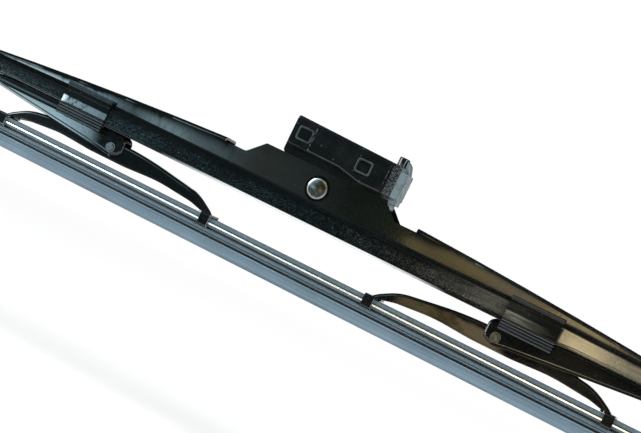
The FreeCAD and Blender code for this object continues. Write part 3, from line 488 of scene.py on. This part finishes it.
def clip_plastic():
    """Black plastic: a plate that bulges above the rails, with scuffs along them, painted highlight lines and a
    painted glare.
    """
    finish = Finish("clip_plastic")
    grain = finish.noise(0.5 * MM, 3.0)
    cloud = finish.noise(6 * MM, 4.0)
    scuffs = finish.eased(finish.noise(0.2 * MM, 1.0, (40, 1, 1)), 0.58, 0.8)
    off_top = finish.calc("SUBTRACT", clip_high[2], finish.z)
    # Painted highlights: pale lines along the rails' edges
    rail_highlights = finish.product(rail_highlight_lines(finish, clip_low[2] + 0.5 * MM), 0.22)
    for drop, strength in ((0.55 * MM, 0.45), (1.75 * MM, 0.14)):
        line = finish.between(finish.off(off_top, drop), 0.45 * MM, 0.2 * MM)
        rail_highlights = finish.total(rail_highlights, finish.product(line, strength))
    specks = finish.dots(1.9 * MM, 0.08)
    plate_z = clip_low[2] + CLIP_RAIL
    rails = finish.between(finish.z, plate_z + 0.2 * MM, plate_z - 0.2 * MM)
    right_end = finish.eased(finish.x, clip_high[0] - 2 * MM, clip_low[0] + 3 * MM)
    right = finish.between(finish.x, 0.0, 1.0 * MM)
    streaks = finish.between(finish.noise(0.8 * MM, 3.0, (12, 1, 1)), 0.3, 0.68)
    below_top = finish.eased(finish.z, plate_z + 3.4 * MM, plate_z + 2.6 * MM, 0.1, 1.0)
    film = finish.product(right, right_end, streaks, below_top, finish.between(rails, 0.0, 1.0, 0.60, 0.04))
    glare_z = finish.product(finish.between(finish.z, plate_z + 3.2 * MM, plate_z + 2.8 * MM),
                             finish.between(rails, 1.0, 0.0))
    # Painted glare: a pale patch on the left clip's plate
    painted_glare = finish.product(finish.eased(finish.total(finish.x, finish.product(cloud, 4 * MM)),
                                       -clip_high[0] - 1.5 * MM, -clip_high[0] - 5.0 * MM), glare_z)
    marks = finish.total(
        finish.product(scuffs, finish.between(cloud, 0.4, 0.6), finish.between(rails, 0.0, 1.0, 0.05, 0.16)),
        finish.product(specks, 0.6), rail_highlights)
    colour = finish.mix(finish.calc("MINIMUM", marks, 1.0), (0.0022, 0.003, 0.0034), (0.15, 0.2, 0.225))
    # Film on the right clip, its warm tint a painted reflection
    colour = finish.mix(film, colour, FILM_DUST_REFLECTION_TINT)
    colour = finish.mix(painted_glare, colour, (0.55, 0.62, 0.65))
    rough = finish.total(finish.between(cloud, 0.3, 0.7, 0.07, 0.12), finish.product(marks, 0.3))
    relief = finish.total(finish.product(grain, 0.008 * MM), finish.product(scuffs, -0.003 * MM))
    lower = finish.between(rails, 0.0, 1.0, 0.02, 0.12)
    upper = finish.eased(finish.z, plate_z + 2.6 * MM, plate_z + 3.4 * MM, 0.0, 0.13)
    mottled = finish.product(finish.eased(finish.noise(1.2 * MM, 4.0, roughness=0.7), 0.42, 0.66), glare_z,
                             finish.eased(finish.x, -clip_high[0] + 9 * MM, -clip_high[0] + 5 * MM))
    shade = finish.total(finish.product(right, 0.08), finish.product(mottled, 0.06))
    normal = finish.leaning(finish.total(lower, upper, shade), finish.bump(relief, 1.0))
    return finish.finish(Base_Color=colour, Roughness=rough, Normal=normal)


def squeegee_rubber():
    """Black rubber painted blue-grey as a sheen, streaked along its length, darker on its head, with painted shade in
    its grooves.
    """
    finish = Finish("squeegee_rubber", "rest")
    streaks = finish.noise(0.25 * MM, 3.0, (120, 1, 1))
    bands = finish.noise(0.9 * MM, 2.0, (200, 1, 1))
    cloud = finish.noise(25 * MM, 3.0)
    grain = finish.noise(0.35 * MM, 3.0, (3, 1, 1))
    lint = finish.dots(3.2 * MM, 0.06, (2, 1, 1))
    tone = finish.total(finish.product(streaks, 0.35), finish.product(bands, 0.35), finish.product(cloud, 0.3))
    colour = finish.mix(finish.between(tone, 0.38, 0.62), RUBBER_DARK, RUBBER_PALE)
    lip_tip = finish.between(finish.z, strip_foot_z + 1.4 * MM, strip_foot_z + 0.3 * MM)
    colour = finish.mix(finish.product(lip_tip, 0.45), colour, RUBBER_TIP)
    head = finish.between(finish.z, rubber_high[2] - 7.2 * MM, rubber_high[2] - 6.6 * MM)
    colour = finish.mix(finish.product(head, 0.7), colour, RUBBER_HEAD)
    hatch = finish.between(finish.noise(0.5 * MM, 2.0, (1, 8, 8)), 0.4, 0.6)
    colour = finish.mix(finish.product(hatch, head, 0.4), colour, RUBBER_HATCH)
    # Painted shade: each recessed stretch is made nearly black
    for top_drop, foot_drop in GROOVES:
        low = finish.between(finish.z, rubber_high[2] - foot_drop, rubber_high[2] - foot_drop + 0.1 * MM)
        high = finish.between(finish.z, rubber_high[2] - top_drop, rubber_high[2] - top_drop - 0.1 * MM)
        colour = finish.mix(finish.product(low, high, 0.9), colour, RUBBER_GROOVE_SHADE)
    colour = finish.mix(finish.product(lint, 0.6), colour, LINT)
    rough = finish.between(cloud, 0.3, 0.7, 0.42, 0.55)
    normal = finish.bump(finish.total(finish.product(streaks, 0.6), grain), 0.01 * MM)
    return finish.finish(Base_Color=colour, Roughness=rough, Normal=normal)


def spline_steel():
    """Bright rolled strip with drawing lines along it."""
    finish = Finish("spline_steel", "rest")
    lines = finish.noise(0.1 * MM, 2.0, (300, 1, 1))
    stain = finish.between(finish.noise(14 * MM, 4.0), 0.5, 0.75)
    colour = finish.mix(finish.product(stain, 0.4), (0.9, 0.91, 0.9), (0.6, 0.56, 0.48))
    rough = finish.between(lines, 0.35, 0.65, 0.22, 0.34)
    normal = finish.bump(lines, 0.004 * MM)
    return finish.finish(Base_Color=colour, Metallic=1.0, Roughness=rough, Normal=normal)


# Rubber and splines, cut into lengths, each listed with the two bodies that hold it

STATION = 6 * MM
FREE_MIDDLE = 18 * MM
CLAW_HOLD = 3.5 * MM
SMOOTH_ANGLE = math.radians(35)


def strip_lengths():
    """Lengths of the strip: from, to, bodies it goes from and to, and where it turns."""
    outer_turn = (outer_claw_x - CLAW_HOLD, lever_pivot_x)
    middle_turn = (lever_pivot_x, middle_claw_x + CLAW_HOLD)
    lengths = []
    for side, name in ((-1, "left"), (1, "right")):
        steps = [
            (rubber_end_x, lever_pivot_x, f"{name}_outer_yoke", f"{name}_lever", outer_turn),
            (lever_pivot_x, inner_yoke_x, f"{name}_lever", f"{name}_inner_yoke", middle_turn),
            (inner_yoke_x, FREE_MIDDLE, f"{name}_inner_yoke", f"{name}_lever",
             (inner_claw_x - CLAW_HOLD, FREE_MIDDLE)),
            (FREE_MIDDLE, 0.0, f"{name}_lever", "bridge", (FREE_MIDDLE, 0.0)),
        ]
        for far, near, first, second, turn in steps:
            lengths.append((side * far, side * near, first, second, side * turn[0], side * turn[1]))
    return lengths


def cut_length(node, name, start_x, end_x):
    """Piece of a node's strip between two places, divided finely enough to bend."""
    low, high = min(start_x, end_x), max(start_x, end_x)
    work = bmesh.new()
    work.from_mesh(nodes[node].data)
    bmesh.ops.remove_doubles(work, verts=work.verts, dist=1e-6)
    for place, outward in ((low, -1), (high, 1)):
        everything = work.verts[:] + work.edges[:] + work.faces[:]
        bmesh.ops.bisect_plane(work, geom=everything, dist=1e-7, plane_co=(place, 0, 0),
                               plane_no=(outward, 0, 0), clear_outer=True)
    bmesh.ops.holes_fill(work, edges=[edge for edge in work.edges if edge.is_boundary], sides=0)
    count = max(1, round((high - low) / STATION))
    for step in range(1, count):
        everything = work.verts[:] + work.edges[:] + work.faces[:]
        bmesh.ops.bisect_plane(work, geom=everything, dist=1e-7,
                               plane_co=(low + (high - low) * step / count, 0, 0), plane_no=(1, 0, 0))
    mesh = bpy.data.meshes.new(name)
    work.to_mesh(mesh)
    work.free()
    mesh.set_sharp_from_angle(angle=SMOOTH_ANGLE)
    places = [value for vertex in mesh.vertices for value in vertex.co]
    rest = mesh.attributes.new("rest", "FLOAT_VECTOR", "POINT")
    rest.data.foreach_set("vector", places)
    piece = bpy.data.objects.new(name, mesh)
    bpy.context.scene.collection.objects.link(piece)
    return piece


def flexible_strip(node, material):
    """The node's strip in lengths, each with the given finish, in place of the node, which is hidden."""
    for number, (start_x, end_x, first, second, turn_start, turn_end) in enumerate(strip_lengths(), 1):
        piece = cut_length(node, f"{node}_{number}", start_x, end_x)
        piece.data.materials.clear()
        piece.data.materials.append(material)
        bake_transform(piece)
        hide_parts(node)


# Light, floor and background

CARD_RADIUS = 1.5
CARD_HALF_LENGTH = 2.2
CARD_BACK_ELEVATION = 9
CARD_ROWS = 48
CARD_ABOVE_FLOOR = 0.002
FLOOR_SIZE = 14.0
FLOOR_COLOUR = (0.86, 0.86, 0.86)
# Plain white takes over from the floor's own colour between these distances from the middle
SHADOW_REACH, WHITE_FROM = 0.25, 1.2
WORLD_LIGHT = 0.55
# The blade hangs on its arm, with room below for its ends to swing down
SWING_ROOM = 80 * MM
floor_z = strip_foot_z - SWING_ROOM
CARD_LIGHT_Z = 0.03
CARD_DARK_Z = 0.22
CARD_DARK = 0.015
CARD_PEAK = 14.0
# Soft light high in front of the blade, which its edges show: heights of no light and of full light
EDGE_LIGHT_RISE, EDGE_LIGHT_FALL = (0.5, 0.8), (1.15, 0.9)
EDGE_LIGHT = 0.4
# What stands around the object, from left to right as seen from it: angle in degrees, tone.
# Chosen by trial, until the paint's reflections came near those in the photograph
CARD_TONES = [
    (-60, (1.5, 2.0, 2.1)), (-36, (10.0, 13.0, 14.0)), (-32, (8.5, 12.0, 13.2)), (-30.2, (6.6, 10.6, 12.8)),
    (-28.8, (2.5, 3.8, 4.4)), (-27.9, (0.9, 1.4, 1.5)), (-27.3, (0.9, 1.4, 1.5)), (-26.2, (3.1, 4.5, 5.0)),
    (-25.0, (3.1, 4.6, 5.0)), (-24.3, (1.4, 2.2, 2.4)), (-23.2, (1.3, 1.95, 2.2)), (-22.2, (0.8, 1.15, 1.25)),
    (-21, (0.45, 0.52, 0.45)), (-18.4, (0.35, 0.45, 0.42)), (-15.5, (0.065, 0.1, 0.05)),
    (-12.2, (0.12, 0.19, 0.09)), (-11.8, (2.3, 1.8, 0.8)), (-11.4, (2.1, 1.7, 0.75)), (-10.6, (1.4, 1.15, 0.46)),
    (-8.3, (2.5, 1.8, 0.72)), (-5.3, (2.45, 2.05, 1.25)), (-2.9, (3.2, 2.3, 0.95)), (-2.0, (11.5, 9.0, 4.8)),
    (-0.8, (11.5, 9.0, 4.8)), (1.0, (2.6, 2.1, 1.2)), (30, (0.9, 0.9, 0.8)),
]


def make_light(name, place, size, power, colour=(1, 1, 1), reflected=True):
    """Soft lamp that faces the object."""
    data = bpy.data.lights.new(name, "AREA")
    data.shape = "RECTANGLE"
    data.size, data.size_y = size
    data.energy = power
    data.color = colour
    light = bpy.data.objects.new(name, data)
    bpy.context.scene.collection.objects.link(light)
    light.location = place
    light.rotation_euler = (-Vector(place)).to_track_quat("-Z", "Y").to_euler()
    light.visible_camera = False
    light.visible_glossy = reflected


def seen_directly(tree):
    """1 for what the camera sees, also by reflection or through glass."""
    path = tree.nodes.new("ShaderNodeLightPath").outputs
    seen = path["Is Camera Ray"]
    for kind in ("Is Glossy Ray", "Is Transmission Ray"):
        either = tree.nodes.new("ShaderNodeMath")
        either.operation = "MAXIMUM"
        tree.links.new(seen, either.inputs[0])
        tree.links.new(path[kind], either.inputs[1])
        seen = either.outputs[0]
    return seen


def make_world():
    """White where it is seen, and a plain level of light on the object."""
    world = bpy.data.worlds.new("world")
    bpy.context.scene.world = world
    world.use_nodes = True
    tree = world.node_tree
    back = tree.nodes["Background"]
    back.inputs["Color"].default_value = (1, 1, 1, 1)
    level = tree.nodes.new("ShaderNodeMapRange")
    level.inputs["To Min"].default_value = WORLD_LIGHT
    level.inputs["To Max"].default_value = 1.0
    tree.links.new(seen_directly(tree), level.inputs["Value"])
    tree.links.new(level.outputs[0], back.inputs["Strength"])


def make_floor():
    """Pale floor that keeps the object's shadow and turns plain white further out."""
    mesh = bpy.data.meshes.new("floor")
    half = FLOOR_SIZE / 2
    corners = [(-half, -half, floor_z), (half, -half, floor_z), (half, half, floor_z), (-half, half, floor_z)]
    mesh.from_pydata(corners, [], [(0, 1, 2, 3)])
    floor = bpy.data.objects.new("floor", mesh)
    bpy.context.scene.collection.objects.link(floor)
    finish = Finish("floor_white")
    finish.finish(Base_Color=FLOOR_COLOUR, Roughness=0.9)
    away = finish.add("ShaderNodeVectorMath", {0: finish.point}, operation="LENGTH").outputs["Value"]
    share = finish.product(finish.between(away, SHADOW_REACH, WHITE_FROM, 0.3, 1.0), seen_directly(finish.tree))
    glow = finish.add("ShaderNodeEmission", {"Color": (1.0, 1.0, 1.0), "Strength": 1.0}).outputs[0]
    both = finish.add("ShaderNodeMixShader", {0: share, 1: finish.shader.outputs[0], 2: glow}).outputs[0]
    finish.show(both)
    mesh.materials.append(finish.material)


def make_card():
    """Curved card over the object that only reflections show: dark above, toned in front."""
    mesh = bpy.data.meshes.new("card")
    points, faces = [], []
    low = math.asin((-floor_z - CARD_ABOVE_FLOOR) / CARD_RADIUS)
    high = math.radians(180 - CARD_BACK_ELEVATION)
    for row in range(CARD_ROWS + 1):
        angle = -low + (high + low) * row / CARD_ROWS
        y, z = -CARD_RADIUS * math.cos(angle), CARD_RADIUS * math.sin(angle)
        points += [(-CARD_HALF_LENGTH, y, z), (CARD_HALF_LENGTH, y, z)]
        if row:
            faces.append((2 * row - 2, 2 * row - 1, 2 * row + 1, 2 * row))
    mesh.from_pydata(points, [], faces)
    card = bpy.data.objects.new("card", mesh)
    bpy.context.scene.collection.objects.link(card)
    finish = Finish("card_tones")
    ahead = finish.calc("ARCTAN2", finish.x, finish.product(finish.y, -1.0))
    side = finish.between(ahead, math.radians(CARD_TONES[0][0]), math.radians(CARD_TONES[-1][0]))
    tones = finish.add("ShaderNodeValToRGB", {0: side})
    ramp = tones.color_ramp
    for number in range(len(CARD_TONES) - 2):
        ramp.elements.new((number + 1) / len(CARD_TONES))
    span = CARD_TONES[-1][0] - CARD_TONES[0][0]
    for element, (angle, colour) in zip(ramp.elements, CARD_TONES):
        element.position = (angle - CARD_TONES[0][0]) / span
        element.color = (*(part / CARD_PEAK for part in colour), 1)
    edge_light = finish.product(finish.eased(finish.z, *EDGE_LIGHT_RISE), finish.eased(finish.z, *EDGE_LIGHT_FALL),
                                finish.between(finish.y, 0.0, -0.1), EDGE_LIGHT)
    height = finish.total(finish.between(finish.z, CARD_DARK_Z, CARD_LIGHT_Z, CARD_DARK, 1.0), edge_light)
    strength = finish.product(height, CARD_PEAK)
    glow = finish.add("ShaderNodeEmission", {"Color": tones.outputs[0], "Strength": strength}).outputs[0]
    finish.show(glow)
    mesh.materials.append(finish.material)
    card.visible_camera = False
    card.visible_diffuse = False
    card.visible_transmission = False
    card.visible_shadow = False


make_camera()
make_world()
make_floor()
make_card()
make_light("key", place=(0.95, -0.65, 0.60), size=(0.5, 0.5), power=12.0)
make_light("fill", place=(-1.0, -0.5, 0.42), size=(0.45, 0.6), power=11.0, colour=(0.93, 0.98, 1.0))
make_light("back", place=(0.2, 1.0, 0.9), size=(0.9, 0.5), power=7.0, reflected=False)
bpy.context.scene.view_settings.view_transform = "Standard"

# One finish for each material slot, and some nodes' own
finishes = {
    "black_paint": black_paint("yoke_paint", inner_yoke_low[2] + 4 * MM, 6 * MM, 0.05, 0.14,
                               dark_from=6 * MM, worn_and_highlit_below_z=rubber_high[2]),
    "bright_steel": steel("bright_steel", (0.42, 0.44, 0.44), (0.2, 0.21, 0.2), (0.2, 0.34)),
    "dark_steel": steel("dark_steel", (0.055, 0.06, 0.06), (0.02, 0.022, 0.022), (0.2, 0.3)),
    "adapter_plastic": adapter_plastic(),
    "clip_plastic": clip_plastic(),
}
own_finish = {
    "main_bridge": bridge_paint(),
    "left_lever": black_paint("left_lever_paint", lever_low[2] + 3 * MM, 9 * MM, 0.028, 0.055,
                              dark_beyond=-inner_yoke_x - 13 * MM, shaded_z=hem_foot_z - 2.6 * MM),
    "right_lever": black_paint("right_lever_paint", lever_low[2], 10 * MM, 0.11, 0.15),
    "right_inner_yoke": black_paint("right_yoke_paint", inner_yoke_low[2] + 11.6 * MM, 2.6 * MM, 0.035, 0.12,
                                    patchy=0.04, dark_from=38 * MM, dark_beyond=inner_yoke_x,
                                    worn_and_highlit_below_z=rubber_high[2]),
    "adapter_nose": nose_plastic(),
    "centre_rivet": rivet_steel(),
}
for part in frame["record"]["subparts"]:
    node = part["node"]
    if part["material_slot"] in finishes:
        mesh = nodes[node].data
        mesh.materials.clear()
        mesh.materials.append(own_finish.get(node, finishes[part["material_slot"]]))

flexible_strip("wiping_rubber", squeegee_rubber())
spline_finish = spline_steel()
flexible_strip("front_spline", spline_finish)
flexible_strip("back_spline", spline_finish)
